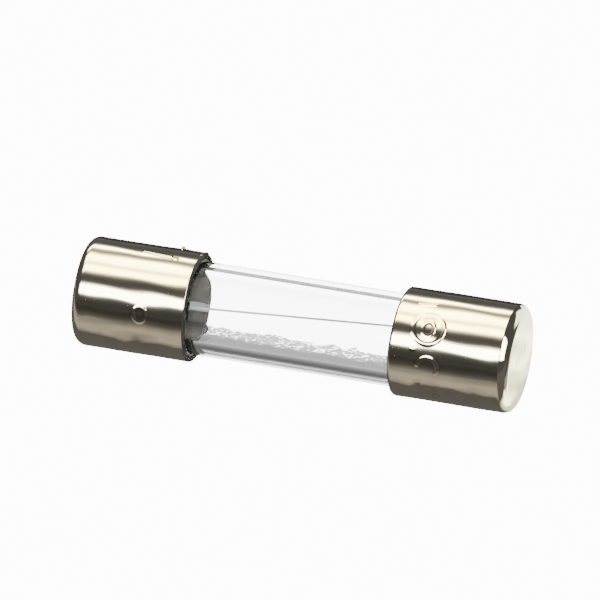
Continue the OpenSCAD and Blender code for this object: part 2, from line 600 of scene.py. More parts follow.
def rim_shift(side, about):
    """How far the rim is cut back at each angle, in towards the cap's closed end: an even amount plus one
    wave round the cap, and a little of the slow ripple."""
    even, wave, top = RIM_CUTS[side]
    ragged = RIM_RAGGED * ripple(0, about, 51 + side)
    return MM * (even + wave * np.cos(about - math.radians(top)) + ragged)


def cap_outline(settings):
    """The cap's outline from the middle of the end, over the corner, along the side, round the rim and back
    inside to the middle of the floor. Returns its points and how many of them are on the outside."""
    corner, cavity, rim = settings.corner_depth, settings.cavity_corner_r, settings.rim_round
    flat_r = CAP_R - settings.corner_r
    rows = CAP_ROWS
    quarter = arc([0, 0], 1, 0, 90, rows["corner"])
    outside = outline(
        line([CAP_END_X, 0], [CAP_END_X, flat_r], rows["end"]),
        [CAP_END_X - corner, flat_r] + quarter * [corner, settings.corner_r],
        line([CAP_END_X - corner, CAP_R], [CAP_RIM_X + rim, CAP_R], rows["side"]),
        arc([CAP_RIM_X + rim, CAP_R - rim], rim, 90, 180, rows["rim"]),
    )
    inside = (
        arc([CAP_RIM_X + LIP_R, CAP_BORE_R + LIP_R], LIP_R, 180, 270, rows["lip"]),
        line([CAP_RIM_X + LIP_R, CAP_BORE_R], [CAP_FLOOR_X - cavity, CAP_BORE_R], rows["wall"]),
        arc([CAP_FLOOR_X - cavity, CAP_BORE_R - cavity], cavity, 90, 0, rows["cavity"]),
        line([CAP_FLOOR_X, CAP_BORE_R - cavity], [CAP_FLOOR_X, 0], rows["floor"]),
    )
    return outline(outside, *inside), len(outside)


def cap_mesh(side, settings):
    """A drawn cup: its outline turned about X, with the marks, ripples and a slightly dished end added. The
    dish goes as (1 - s^2)^2, s being the share of the flat's radius, and has three faint lobes."""
    corner = settings.corner_depth
    flat_r = CAP_R - settings.corner_r
    shape, outer_rows = cap_outline(settings)
    about = around(CAP_COLUMNS)
    x, r = side * shape[:, :1], shape[:, 1:]
    outside = (np.arange(len(shape))[:, None] < outer_rows) * 1.0
    inset = abs(x)
    on_side = outside * (1 - smooth_step(CAP_END_X - 2 * corner, CAP_END_X - 0.8 * corner, inset))
    relief, foot = stamped_relief(side, x, about, settings)
    waves = settings.ripple * ripple(x, about, 11 + side)
    at_rim = 1 - smooth_step(CAP_RIM_X, CAP_RIM_X + RIM_FADE, inset)
    torn = (side == LEFT) * settings.burr * bell(about, TEAR_ANGLE, TEAR_WIDTH)
    torn = torn * (1 - smooth_step(CAP_RIM_X, CAP_RIM_X + TEAR_REACH, inset))
    swollen_r = r + on_side * (relief + waves) + TEAR_OUT * torn
    x = x + side * (at_rim * rim_shift(side, about) - TEAR_ALONG * torn)
    end = outside * (inset > CAP_END_X - TINY) * (r < flat_r)
    share = np.minimum(r / flat_r, 1)
    dished = end * settings.dish * (1 - share**2) ** 2 * (1 + 0.5 * share**2 * np.cos(3 * about))
    bars = end * settings.mark_height * end_bars(-r * np.cos(about), r * np.sin(about))
    points = turned(x - side * (dished + bars), swollen_r, about)
    return surface_mesh(
        f"{SIDES[side]}_cap",
        points,
        start_pole=True,
        end_pole=True,
        mark_foot=foot * on_side,
        # The inner surface, which is rougher and coloured darker as painted shade.
        inside=1 - outside,
        end_face=end,
        # The bare cut rim, coloured near black as painted shade.
        cut_edge=(inset < CAP_RIM_X + SHADED_CUT_EDGE_SHARE[side] * settings.rim_round) * 1.0,
    )


# The plate's looks: the share of its colour left in the patches, how strong the film is in the marks' feet,
# and its roughness, with what the patches, the end face and the inner wall each add to it.
PLATE_PATCH_SHARE = 0.93
FILM_STRENGTH = 0.45
PLATE_ROUGHNESS = 0.03
PATCHES_ADD = 0.02
END_FACE_ADDS = 0.08
INSIDE_ADDS = 0.22


def nickel_material(settings):
    """Bright nickel plate: a near mirror with draw lines, a warm film in the feet of the marks, a satin end
    and a dull inner wall, coloured darker as painted shade."""
    material, tree, shader = new_material("Nickel plate")
    height, patches = put_drawn_lines(tree, 9.0, 0.03, 0.25)
    inside = attribute(tree, "inside")
    base = patchy(tree, patches, settings.plating, PLATE_PATCH_SHARE)
    film = maths(tree, "MULTIPLY", attribute(tree, "mark_foot"), FILM_STRENGTH)
    base = blend_colour(tree, film, base, tuple(settings.tarnish))
    # Painted shade: the inner wall takes the darker inside colour.
    base = blend_colour(tree, inside, base, tuple(settings.inside))
    bright = maths(tree, "MULTIPLY_ADD", patches, PATCHES_ADD, PLATE_ROUGHNESS)
    satin = maths(tree, "MULTIPLY_ADD", attribute(tree, "end_face"), END_FACE_ADDS, bright)
    dull = maths(tree, "MULTIPLY_ADD", inside, INSIDE_ADDS, satin)
    fill(tree, shader, {"Base Color": base, "Metallic": 1.0, "Roughness": dull})
    add_bump(tree, shader, height, 0.0006 * MM)
    return material


def cut_edge_material(settings):
    """The sheared edge at the rim, where the plate is gone: dull metal with fine shear marks, coloured near
    black as painted shade along the rim.
    """
    material, tree, shader = new_material("Cut edge with painted shade")
    height, patches = put_drawn_lines(tree, 14.0, 1.0, 0.6)
    # Painted shade: the near black colour of the cut rim.
    base = patchy(tree, patches, settings.cut_edge, 1.6)
    fill(tree, shader, {"Base Color": base, "Metallic": 0.0, "Roughness": 0.6, "Specular IOR Level": 0.0})
    add_bump(tree, shader, height, 0.002 * MM)
    return material


def wear_where(mesh, mask, material):
    """Gives a mesh a further material on the faces whose first corner has the mask at 1."""
    marked = np.empty(len(mesh.vertices), np.float32)
    mesh.attributes[mask].data.foreach_get("value", marked)
    corners = np.empty(len(mesh.loops), np.int32)
    mesh.loops.foreach_get("vertex_index", corners)
    starts = np.empty(len(mesh.polygons), np.int32)
    mesh.polygons.foreach_get("loop_start", starts)
    mesh.materials.append(material)
    mesh.polygons.foreach_set("material_index", (marked[corners[starts]] > 0.5).astype(np.int32))


# ---- Glass tube ----

GLASS_COLUMNS = 640
GLASS_ROWS = 36
POLISH_ROWS = 8


def glass_mesh(settings):
    """A tube with fire-polished rims: a closed outline turned about X, with slow waves on both walls."""
    polish, end = settings.polish, TUBE_END_X
    shape = outline(
        line([-end + polish, TUBE_R], [end - polish, TUBE_R], GLASS_ROWS),
        arc([end - polish, TUBE_R - polish], polish, 90, 0, POLISH_ROWS),
        arc([end - polish, TUBE_BORE_R + polish], polish, 0, -90, POLISH_ROWS),
        line([end - polish, TUBE_BORE_R], [-end + polish, TUBE_BORE_R], GLASS_ROWS),
        arc([-end + polish, TUBE_BORE_R + polish], polish, 270, 180, POLISH_ROWS),
        arc([-end + polish, TUBE_R - polish], polish, 180, 90, POLISH_ROWS)[:-1],
    )
    about = around(GLASS_COLUMNS)
    x, r = shape[:, :1], shape[:, 1:]
    outer = smooth_step(TUBE_R - 0.1 * polish, TUBE_R - TINY, r)
    bore = 1 - smooth_step(TUBE_BORE_R + TINY, TUBE_BORE_R + 0.1 * polish, r)
    waves = outer * -abs(ripple(x, about, 3)) + bore * ripple(x, about, 4)
    return surface_mesh("glass_body", turned(x, r + settings.ripple * waves, about), closed_rows=True)


def glass_material(settings):
    """Clear glass with the faintest of draw lines."""
    material, tree, shader = new_material("Clear glass")
    height = put_drawn_lines(tree, 5.0, 0.02, 0.15)[0]
    shader.inputs["Base Color"].default_value = (*settings.tint, 1)
    shader.inputs["Metallic"].default_value = 0.0
    shader.inputs["Roughness"].default_value = 0.0
    shader.inputs["IOR"].default_value = settings.ior
    shader.inputs["Transmission Weight"].default_value = 1.0
    add_bump(tree, shader, height, 0.00008 * MM)
    return material


# ---- Fuse wire ----

TINNED = {"share": 0.8, "lines": (40.0, 0.05, 0.4), "roughness": (0.2, 0.32), "bump": 0.002 * MM}
FOLD_STEPS = 12
SLANT_STEPS = 60
WIRE_SIDES = 20


def rounded_path(corners, radius, steps):
    """A path through corners, each turned into an arc. The arc starts and ends one tangent length from its
    corner. Its points are the centre plus the radius times a unit vector that swings from end to end."""
    path = [corners[:1]]
    for before, corner, after in zip(corners[:-2], corners[1:-1], corners[2:]):
        arriving = (corner - before) / np.linalg.norm(corner - before)
        leaving = (after - corner) / np.linalg.norm(after - corner)
        turn = math.acos(np.clip(arriving @ leaving, -1, 1))
        start = corner - radius * math.tan(turn / 2) * arriving
        inwards = leaving - (leaving @ arriving) * arriving
        inwards /= np.linalg.norm(inwards)
        swing = np.linspace(0, turn, steps)[:, None]
        swung = arriving * np.sin(swing) - inwards * np.cos(swing)
        path.append(start + radius * inwards + radius * swung)
    path.append(corners[-1:])
    return np.concatenate(path)


def tube_along(name, path, radius, sides, across):
    """A round tube carried along a path: each ring is the path's point plus the radius times the cosine and
    sine round two directions square to the path. It ends in flat discs."""
    tangent = np.gradient(path, axis=0)
    tangent /= np.linalg.norm(tangent, axis=1)[:, None]
    first = np.cross(tangent, across)
    first /= np.linalg.norm(first, axis=1)[:, None]
    second = np.cross(tangent, first)
    about = np.linspace(0, 2 * math.pi, sides, endpoint=False)[None, :, None]
    rings = path[:, None] + radius * (np.cos(about) * first[:, None] + np.sin(about) * second[:, None])
    ends = [np.repeat(path[index][None, None], sides, axis=1) for index in (0, -1)]
    return surface_mesh(name, np.concatenate([ends[0], rings, ends[1]]), start_pole=True, end_pole=True)


def wire_mesh(settings):
    """The wire: a tail along the glass, over the rim, slanting through the bore, and the same at the far
    end. The slanting part hangs by the bow times the squared sine of its share of half a turn."""
    wire_r = settings.diameter / 2
    tail_r = (TUBE_R + CAP_BORE_R) / 2
    bore_r = TUBE_BORE_R - settings.clearance - wire_r
    fold_x = TUBE_END_X + settings.clearance + wire_r

    def corners(side):
        about = np.array(wire_angle_on_rim(side))
        return [
            turned(side * (fold_x - settings.tail), tail_r, about),
            turned(side * fold_x, tail_r, about),
            turned(side * fold_x, bore_r, about),
        ]

    route = np.array(corners(LEFT) + corners(RIGHT)[::-1])
    path = rounded_path(route, settings.fold_r, FOLD_STEPS)
    middle = len(path) // 2
    slant = line(path[middle - 1], path[middle], SLANT_STEPS)
    slant[:, 2] -= settings.bow * np.sin(np.linspace(0, math.pi, SLANT_STEPS)) ** 2
    path = np.concatenate([path[: middle - 1], slant, path[middle + 1 :]])
    left = wire_angle_on_rim(LEFT)
    return tube_along("fuse_link", path, wire_r, WIRE_SIDES, [0, math.sin(left), math.cos(left)])


# ---- Solder ----

FROSTED = {"share": 0.7, "lines": (7.0, 1.0, 0.8), "roughness": (0.28, 0.48), "bump": 0.01 * MM}
SOLDER_COLUMNS = 128
SOLDER_ROWS = {"floor": 4, "corner": 5, "shoulder": 3, "lap": 6, "dome": 24}


def solder_mesh(side, settings, cap, glass):
    """Solder fills the cap's end, laps the tube's polished rim and domes into its bore: an outline turned
    about X, with shallow waves and grains on the dome."""
    gap = SKIN_GAP
    outer_r, floor_x = CAP_BORE_R - gap, CAP_FLOOR_X - gap
    cavity, polish = cap.cavity_corner_r, glass.polish + gap
    edge_x = TUBE_END_X - settings.edge
    dome_h = edge_x - SOLDER_DOME_X
    plug_r = TUBE_BORE_R - gap
    dome_r = (plug_r**2 + dome_h**2) / (2 * dome_h)
    dome_angle = math.degrees(math.asin(plug_r / dome_r))
    rows = SOLDER_ROWS
    lap_x = TUBE_END_X - glass.polish
    shape = outline(
        line([floor_x, 0], [floor_x, outer_r - cavity], rows["floor"]),
        arc([floor_x - cavity, outer_r - cavity], cavity, 0, 90, rows["corner"]),
        line([lap_x, outer_r], [lap_x, TUBE_R + gap], rows["shoulder"]),
        arc([lap_x, TUBE_R - glass.polish], polish, 90, 0, rows["lap"]),
        arc([lap_x, TUBE_BORE_R + glass.polish], polish, 0, -90, rows["lap"]),
        arc([SOLDER_DOME_X + dome_r, 0], dome_r, 180 - dome_angle, 180, rows["dome"]),
    )
    about = around(SOLDER_COLUMNS)
    x, r = side * shape[:, :1], shape[:, 1:]
    on_dome = (abs(x) < edge_x - gap) * (1 - (r / plug_r) ** 4)
    grains = ripple(8 * r, about, 21 + side)
    points = turned(x + side * on_dome * settings.frost * grains * (r / plug_r), r, about)
    return surface_mesh(f"{SIDES[side]}_solder", points, start_pole=True, end_pole=True)


# ---- Cement ----

CEMENT_COLUMNS = 320
CEMENT_ROWS = {"wall": 16, "bead": 12, "deep_end": 3}
RUN_OUT_ANGLE = math.radians(252)
RUN_OUT_WIDTH = math.radians(15)
# The band of painted shade on the cement: its middle angle and its width.
SHADE_BAND_ANGLE = math.radians(227)
SHADE_BAND_WIDTH = math.radians(24)
MOST_DRAWN_IN = -1.2

# How the bead varies round the rim, in shares of its radius: the slow and the quick waves of its length,
# and its thickness as (usual, height of the waves, least, most).
LENGTH_WAVES = (0.1, 0.12)
BEAD_THICKNESS = (0.7, 0.1, 0.4, 1.2)

# The share of the cement's colour left in its patches, and in the band of painted shade low at the back.
CLOUDED_SHARE = 0.75
SHADE_BAND_SHARE = 0.28


def cement_mesh(side, settings, glass):
    """A ring of cement in the gap round the glass, ending in a bead at the rim. The bead's length varies
    round the rim, as the sum of slow waves, and it ran out further low down at the back."""
    gap = SKIN_GAP
    inner_r, outer_r = TUBE_R + gap, CAP_BORE_R - gap
    bead = settings.bead
    deep_x = TUBE_END_X - glass.polish - gap
    rows = CEMENT_ROWS
    shape = outline(
        line([deep_x, outer_r], [CAP_RIM_X, outer_r], rows["wall"]),
        arc([CAP_RIM_X - gap, inner_r], bead, 90, 180, rows["bead"]),
        line([CAP_RIM_X - gap, inner_r], [deep_x, inner_r], rows["wall"]),
        line([deep_x, inner_r], [deep_x, outer_r], rows["deep_end"])[:-1],
    )
    about = around(CEMENT_COLUMNS)
    x, r = shape[:, :1], shape[:, 1:]
    low_at_back = bell(about, RUN_OUT_ANGLE, RUN_OUT_WIDTH)
    slow, quick = LENGTH_WAVES
    waves = slow * ripple(0, about, 31 + side) + quick * ripple(0, 3 * about, 35 + side)
    run_out = np.clip(waves + settings.squeeze * low_at_back, MOST_DRAWN_IN, settings.squeeze)
    past_rim = np.maximum(CAP_RIM_X - gap - x, 0)
    near_rim = 1 - smooth_step(CAP_RIM_X, CAP_RIM_X + RIM_FADE, x)
    usual, wave, least, most = BEAD_THICKNESS
    thick = np.clip(usual + wave * ripple(0, 2 * about, 41 + side), least, most)
    r = np.where(past_rim > 0, inner_r + (r - inner_r) * thick, r)
    set_back = near_rim * (rim_shift(side, about) + settings.set_back)
    points = turned(side * (x - past_rim * (run_out - 1) + set_back), r, about)
    thin = bell(about, SHADE_BAND_ANGLE, SHADE_BAND_WIDTH)
    return surface_mesh(f"{SIDES[side]}_cement", points, closed_rows=True, thin=thin)


def cement_material(settings):
    """Grey resin cement, clouded in patches, and darker in a band of painted shade low at the back."""
    material, tree, shader = new_material("Resin cement")
    height, patches = put_drawn_lines(tree, 6.0, 1.0, 0.8)
    clouded = patchy(tree, patches, settings.resin, CLOUDED_SHARE)
    # Painted shade: the cement is darker in that band.
    clear = tuple(SHADE_BAND_SHARE * part for part in settings.resin)
    base = blend_colour(tree, attribute(tree, "thin"), clouded, clear)
    fill(tree, shader, {"Base Color": base, "Metallic": 0.0, "Roughness": 0.35, "Specular IOR Level": 0.05})
    add_bump(tree, shader, height, 0.006 * MM)
    return material


# ---- Stage ----

FLOOR_REACH = 400 * MM

# Each light: its name, its place and width in metres, and its power in watts.
LIGHTS = (
    ("overhead_light", (0, -0.1, 0.5), 0.4, 0.6),
    ("front_light", (0.2, -0.5, 0.3), 0.3, 0.4),
)

DIM = (0.1, 0.097, 0.092)
STUDIO_DARK = (0.075, 0.072, 0.064)
FRONT_WHITE = (20.0, 18.5, 13.0)
FAR_GREY = (4.2, 4.1, 3.2)
HORIZON_DARK = (0.05, 0.05, 0.049)
GLINT_DIM = (1.5, 1.45, 1.3)
GLINT_WHITE = (10.0, 10.0, 9.5)
# Painted caustic light: the white of the specks in the shadow seen through the bore.
CAUSTIC_WHITE = (7.0, 7.0, 7.0)

# What light that was turned back in the bore, or many times in the glass, sees wherever it goes.
TURNED_BACK_VIEWS = {"bore": (1.8, 1.8, 1.75), "inside": (0.25, 0.25, 0.25)}

# Where each part of the studio fades in, and out again: degrees over the fuse from the front, and X and Z
# as parts of the unit direction.
BANDS_X = (-0.7, -0.5, -0.1, -0.02)
FRONT_BOX_OVER = (23.4, 28.8, 73.8, 79.2)
FRONT_BOX_X = (0.08, 0.14, 0.76, 0.83)
REAR_BOX_OVER = (147.6, 156.6)
REAR_BOX_X = (0.25, 0.4, 0.72, 0.84)
GLINT_OVER = (25.2, 27.9, 45.0, 49.5)
BEHIND_OVER = (138.6, 149.4)
HORIZON_Z = (0.09, 0.11)

# The studio round the fuse, as (angle over the fuse from the front, colour). Soft boxes stand in front,
# overhead and behind, with unlit room between them.
STUDIO_BANDS = (
    (0, STUDIO_DARK),
    (9, STUDIO_DARK),
    (15.5, (0.1, 0.099, 0.092)),
    (20, (0.2, 0.2, 0.18)),
    (23.5, (1.0, 0.95, 0.8)),
    (27, (16.0, 15.5, 11.0)),
    (29, FRONT_WHITE),
    (43, FRONT_WHITE),
    (47, (4.0, 3.7, 2.7)),
    (50.5, (0.4, 0.38, 0.34)),
    (54, (0.15, 0.145, 0.13)),
    (60, (0.12, 0.115, 0.1)),
    (65, (0.16, 0.15, 0.13)),
    (69.5, (0.45, 0.42, 0.35)),
    (73.5, (3.0, 2.6, 1.6)),
    (77, (15.0, 13.0, 4.8)),
    (83, (18.0, 15.5, 5.2)),
    (87.5, (15.0, 12.8, 4.2)),
    (91, (7.5, 6.4, 2.9)),
    (96, (7.5, 6.5, 2.9)),
    (100.5, (15.5, 14.0, 5.0)),
    (112, (18.0, 17.5, 6.4)),
    (117, (13.0, 12.0, 4.8)),
    (122, (2.2, 2.0, 1.2)),
    (128, (0.42, 0.39, 0.32)),
    (134, (1.9, 1.7, 1.2)),
    (139, (16.5, 14.5, 7.0)),
    (143, (16.5, 14.5, 7.0)),
    (148, (0.75, 0.7, 0.62)),
    (154, (0.15, 0.145, 0.135)),
    (165, (0.12, 0.117, 0.112)),
    (180, (0.17, 0.167, 0.165)),
)

# The floor as polished metal sees it, as (mm from the line under the fuse, colour): painted shadow under
# the fuse, a painted band of lit floor beside it, and dimmer floor further out.
FLOOR_BANDS = (
    (0, (0.145, 0.142, 0.138)),
    (2, (0.145, 0.14, 0.13)),
    (3.3, (0.145, 0.135, 0.12)),
    (3.8, (0.42, 0.38, 0.32)),
    (4.4, (0.64, 0.57, 0.45)),
    (5.3, (0.64, 0.57, 0.44)),
    (6.6, (0.46, 0.42, 0.34)),
    (8.0, (0.34, 0.32, 0.27)),
    (9.2, (0.22, 0.21, 0.18)),
    (11.5, (0.12, 0.115, 0.1)),
    (16, (0.08, 0.077, 0.066)),
    (24, (0.06, 0.058, 0.05)),
)

# How finely the floor's slow drift and its mottle vary, and how far in mm they move the bands' edges.
DRIFT_PER_MM = 0.45
DRIFT_REACH = 3.0
MOTTLE_PER_MM = (1.6, 0.5, 1.0)
MOTTLE_REACH = 0.9

# The floor past the right-hand end, as (measure, where its fade starts and ends in mm, colour). Each part
# lies over those before it. Together they paint light and shade there: a mottled pool of painted light,
# painted shadow at the end's foot, light fading further out, grey behind a leaning line and painted shade
# in front.
PAST_END_X = (9.9, 10.4)
PAST_END_PARTS = (
    ("foot", 10.9, 10.5, (1.9, 1.95, 1.3)),
    ("along", 12.4, 13.4, (0.6, 0.57, 0.5)),
    ("along", 16.0, 17.5, DIM),
    ("lean", 3.5, 6.0, FAR_GREY),
    ("away", -1.8, -3.0, (0.16, 0.15, 0.13)),
)
PAINTED_POOL_LIGHTS = ((7.5, 7.2, 4.6), (3.2, 3.15, 2.0))
PAINTED_POOL_EDGES = (0.42, 0.62)
FOOT_DRIFT = 1.2
LEAN_FROM_X = 10.0
LEAN_SLOPE = -0.8

# The fuse's shadow painted on the floor, as the glass's bore sees it: (mm behind the line under the fuse
# plus 1, grey).
BORE_GREYS = ((0.0, 0.5), (0.8, 0.55), (1.4, 0.62), (1.7, 1.0), (2.0, 1.35), (3.0, 1.45))
RAGGED_REACH = 1.5  # how far the noise moves the shades along Y

CLEAR_Y = (1.65, 1.9)  # where the floor seen through the bore turns white
# Where the specks of painted caustic light lie, and the edges of their noise.
CAUSTIC_Y = (0.5, 0.8)
CAUSTIC_EDGES = (0.56, 0.62)

# The floor seen by light turned back inside the glass's wall, with the fuse's shadow and the lit floor
# behind it painted in, as (mm behind that line plus 2, grey).
WALL_Y = (-2.1, -1.9)
WALL_FAR_Y = (12.5, 14.0)
WALL_GREYS = (
    (0.2, 0.6),
    (0.45, 0.34),
    (0.7, 0.2),
    (0.95, 0.14),
    (1.3, 0.17),
    (2.1, 0.22),
    (2.45, 0.26),
    (2.65, 0.6),
    (3.0, 2.5),
    (3.7, 12.0),
    (4.6, 15.0),
)


def ray_masks(tree):
    """Which rays are looking, as a dictionary of masks: the camera's, those that went straight through the
    glass, those turned back in its wall, its bore or many times inside, glints off its outside, and those
    from dull surfaces. All others see the studio."""
    path = put(tree, "ShaderNodeLightPath").outputs
    turned_back = maths(tree, "GREATER_THAN", path["Glossy Depth"], 0.5)
    straight = maths(tree, "SUBTRACT", 1.0, turned_back)
    crossings = path["Transmission Depth"]
    few = maths(tree, "LESS_THAN", crossings, 2.5)
    many = maths(tree, "GREATER_THAN", crossings, 4.5)
    some = maths(tree, "SUBTRACT", 1.0, maths(tree, "ADD", few, many))
    outside = maths(tree, "LESS_THAN", crossings, 0.5)
    leaving = path["Is Transmission Ray"]
    sharp = maths(tree, "MULTIPLY", path["Is Singular Ray"], path["Is Glossy Ray"])
    return {
        "camera": path["Is Camera Ray"],
        "through": maths(tree, "MULTIPLY", leaving, straight),
        "wall": maths(tree, "MULTIPLY", leaving, maths(tree, "MULTIPLY", turned_back, few)),
        "bore": maths(tree, "MULTIPLY", turned_back, some),
        "inside": maths(tree, "MULTIPLY", turned_back, many),
        "glint": maths(tree, "MULTIPLY", sharp, outside),
        "diffuse": maths(tree, "GREATER_THAN", path["Diffuse Depth"], 0.5),
    }


def as_colours(greys):
    """A list of (place, grey) as (place, colour)."""
    return [(place, 3 * (grey,)) for place, grey in greys]


def seen_by(tree, masks, studio, views):
    """The studio's colour, replaced for each kind of ray in turn by what that kind sees."""
    for kind, view in views.items():
        studio = blend_colour(tree, masks[kind], studio, view)
    return studio


def studio_world(settings):
    """The world: soft boxes for reflections, and plain white for the view and through the glass, with an
    unlit strip along the horizon."""
    world = bpy.data.worlds.new("Studio")
    world.use_nodes = True
    tree = world.node_tree
    direction = put(tree, "ShaderNodeTexCoord").outputs["Generated"]
    parts = put(tree, "ShaderNodeSeparateXYZ", {0: direction}).outputs
    towards_front = maths(tree, "MULTIPLY", parts["Y"], -1.0)
    over = maths(tree, "DEGREES", maths(tree, "ARCTAN2", parts["Z"], towards_front))
    studio = blend_colour(tree, window(tree, parts["X"], BANDS_X), DIM, ramp(tree, over, STUDIO_BANDS))
    front_x, rear_x = window(tree, parts["X"], FRONT_BOX_X), window(tree, parts["X"], REAR_BOX_X)
    front = maths(tree, "MULTIPLY", window(tree, over, FRONT_BOX_OVER), front_x)
    studio = blend_colour(tree, front, studio, FRONT_WHITE)
    rear = maths(tree, "MULTIPLY", between(tree, over, *REAR_BOX_OVER), rear_x)
    studio = blend_colour(tree, rear, studio, FAR_GREY)
    clear = 3 * (settings.edge_of_glass,)
    horizon = blend_colour(tree, between(tree, parts["Z"], *HORIZON_Z), HORIZON_DARK, clear)
    views = TURNED_BACK_VIEWS | {
        "glint": blend_colour(tree, window(tree, over, GLINT_OVER), GLINT_DIM, GLINT_WHITE),
        "diffuse": (1.0, 1.0, 1.0),
        "through": 3 * (settings.through_glass,),
        "wall": blend_colour(tree, between(tree, over, *BEHIND_OVER), (0.8, 0.8, 0.8), horizon),
        "camera": 3 * (settings.backdrop,),
    }
    fill(tree, tree.nodes["Background"], {"Color": seen_by(tree, ray_masks(tree), studio, views)})
    world.cycles.sampling_method = "NONE"
    bpy.context.scene.world = world


def floor_past_end(tree, parts, drift, mottle):
    """The floor that the right-hand end reflects: a mottled pool of painted light, covered in turn by the
    parts listed above.
    """
    past_end = maths(tree, "SUBTRACT", parts["X"], LEAN_FROM_X)
    measures = {
        "along": parts["X"],
        "away": parts["Y"],
        "foot": maths(tree, "MULTIPLY_ADD", drift, FOOT_DRIFT, parts["X"]),
        "lean": maths(tree, "MULTIPLY_ADD", past_end, LEAN_SLOPE, parts["Y"]),
    }
    shade = blend_colour(tree, between(tree, mottle, *PAINTED_POOL_EDGES), *PAINTED_POOL_LIGHTS)
    for measure, start, end, colour_there in PAST_END_PARTS:
        shade = blend_colour(tree, between(tree, measures[measure], start, end), shade, colour_there)
    return shade


def floor_studio(tree, in_mm, parts, away):
    """The floor that polished metal reflects: bands of painted shadow and light along the fuse, with wavy
    edges.
    """
    drift = maths(tree, "SUBTRACT", noise(tree, in_mm, DRIFT_PER_MM, 2.0), 0.5)
    mottle = noise(tree, stretched(tree, in_mm, MOTTLE_PER_MM), 1.0, 1.5)
    wavy = maths(tree, "MULTIPLY_ADD", drift, DRIFT_REACH, away)
    wavy = maths(tree, "MULTIPLY_ADD", maths(tree, "SUBTRACT", mottle, 0.5), MOTTLE_REACH, wavy)
    past_end = between(tree, parts["X"], *PAST_END_X)
    beyond = floor_past_end(tree, parts, drift, mottle)
    return blend_colour(tree, past_end, ramp(tree, wavy, FLOOR_BANDS), beyond)


def floor_through_bore(tree, in_mm, parts, clear):
    """The floor seen through the bore: a painted shadow with a ragged edge and bright specks of painted
    caustic light, then clear.
    """
    grains = noise(tree, in_mm, 1.7, 3.0, 0.6)
    curls = noise(tree, in_mm, 1.9, 2.0, distortion=3.0)
    ragged = maths(tree, "MULTIPLY_ADD", maths(tree, "SUBTRACT", grains, 0.5), RAGGED_REACH, parts["Y"])
    shaded = ramp(tree, maths(tree, "ADD", ragged, 1.0), as_colours(BORE_GREYS))
    # Painted caustic light: bright specks near the shadow's edge.
    near_edge = between(tree, ragged, *CAUSTIC_Y)
    caustic_speck = maths(tree, "MULTIPLY", between(tree, curls, *CAUSTIC_EDGES), near_edge)
    shaded = blend_colour(tree, caustic_speck, shaded, CAUSTIC_WHITE)
    return blend_colour(tree, between(tree, ragged, *CLEAR_Y), shaded, clear)


def floor_material(settings):
    """A pale floor that gives its own light, so that the view of it stays plain white. Reflections and the
    glass see painted shadow and painted light under and round the fuse. Distances are millimetres from the
    fuse's middle line."""
    material = bpy.data.materials.new("Pale floor")
    material.use_nodes = True
    tree = material.node_tree
    tree.nodes.remove(tree.nodes["Principled BSDF"])
    in_mm = in_millimetres(tree, put(tree, "ShaderNodeTexCoord").outputs["Object"])
    parts = put(tree, "ShaderNodeSeparateXYZ", {0: in_mm}).outputs
    away = maths(tree, "ABSOLUTE", parts["Y"])
    in_wall = ramp(tree, maths(tree, "ADD", parts["Y"], 2.0), as_colours(WALL_GREYS))
    in_wall = blend_colour(tree, between(tree, away, *WALL_FAR_Y), in_wall, HORIZON_DARK)
    views = TURNED_BACK_VIEWS | {
        "glint": (0.2, 0.2, 0.19),
        "diffuse": (0.8, 0.8, 0.8),
        "through": floor_through_bore(tree, in_mm, parts, 3 * (settings.through_glass,)),
        "wall": blend_colour(tree, between(tree, parts["Y"], *WALL_Y), (0.3, 0.3, 0.3), in_wall),
        "camera": 3 * (settings.backdrop,),
    }
    shade = seen_by(tree, ray_masks(tree), floor_studio(tree, in_mm, parts, away), views)
    glow = put(tree, "ShaderNodeEmission", {"Color": shade, "Strength": 1.0})
    fill(tree, tree.nodes["Material Output"], {"Surface": glow.outputs[0]})
    material.cycles.emission_sampling = "NONE"
    return material


def add_floor(settings):
    """A square floor that the fuse lies on."""
    mesh = bpy.data.meshes.new("floor")
    turns = ((-1, -1), (1, -1), (1, 1), (-1, 1))
    corners = [(FLOOR_REACH * x, FLOOR_REACH * y, -CAP_R) for x, y in turns]
    mesh.from_pydata(corners, [], [(0, 1, 2, 3)])
    mesh.materials.append(floor_material(settings))
    floor = bpy.data.objects.new("floor", mesh)
    bpy.context.scene.collection.objects.link(floor)


def add_camera(settings):
    """A long lens on the fuse: the sensor's width times the distance, over what the view spans."""
    turn, lift = settings.azimuth, settings.elevation
    back = Vector((math.sin(turn) * math.cos(lift), -math.cos(turn) * math.cos(lift), math.sin(lift)))
    facing = back.to_track_quat("Z", "Y")
    aim = facing @ Vector((settings.aim_right * MM, settings.aim_up * MM, 0))
    data = bpy.data.cameras.new("camera")
    data.sensor_width = 36
    data.lens = data.sensor_width * settings.distance / settings.view_width
    data.clip_start = 10 * MM
    data.clip_end = 10
    camera = bpy.data.objects.new("camera", data)
    camera.location = aim + back * settings.distance
    camera.rotation_euler = facing.to_euler()
    bpy.context.scene.collection.objects.link(camera)
    bpy.context.scene.camera = camera


def add_light(name, place, size, power):
    """A soft square light aimed at the fuse, which reflections don't show."""
    data = bpy.data.lights.new(name, "AREA")
    data.shape = "SQUARE"
    data.size = size
    data.energy = power
    light = bpy.data.objects.new(name, data)
    light.location = place
    light.rotation_euler = Vector(place).to_track_quat("Z", "Y").to_euler()
    light.visible_glossy = False
    light.visible_transmission = False
    light.visible_camera = False
    bpy.context.scene.collection.objects.link(light)


# ---- Operators ----


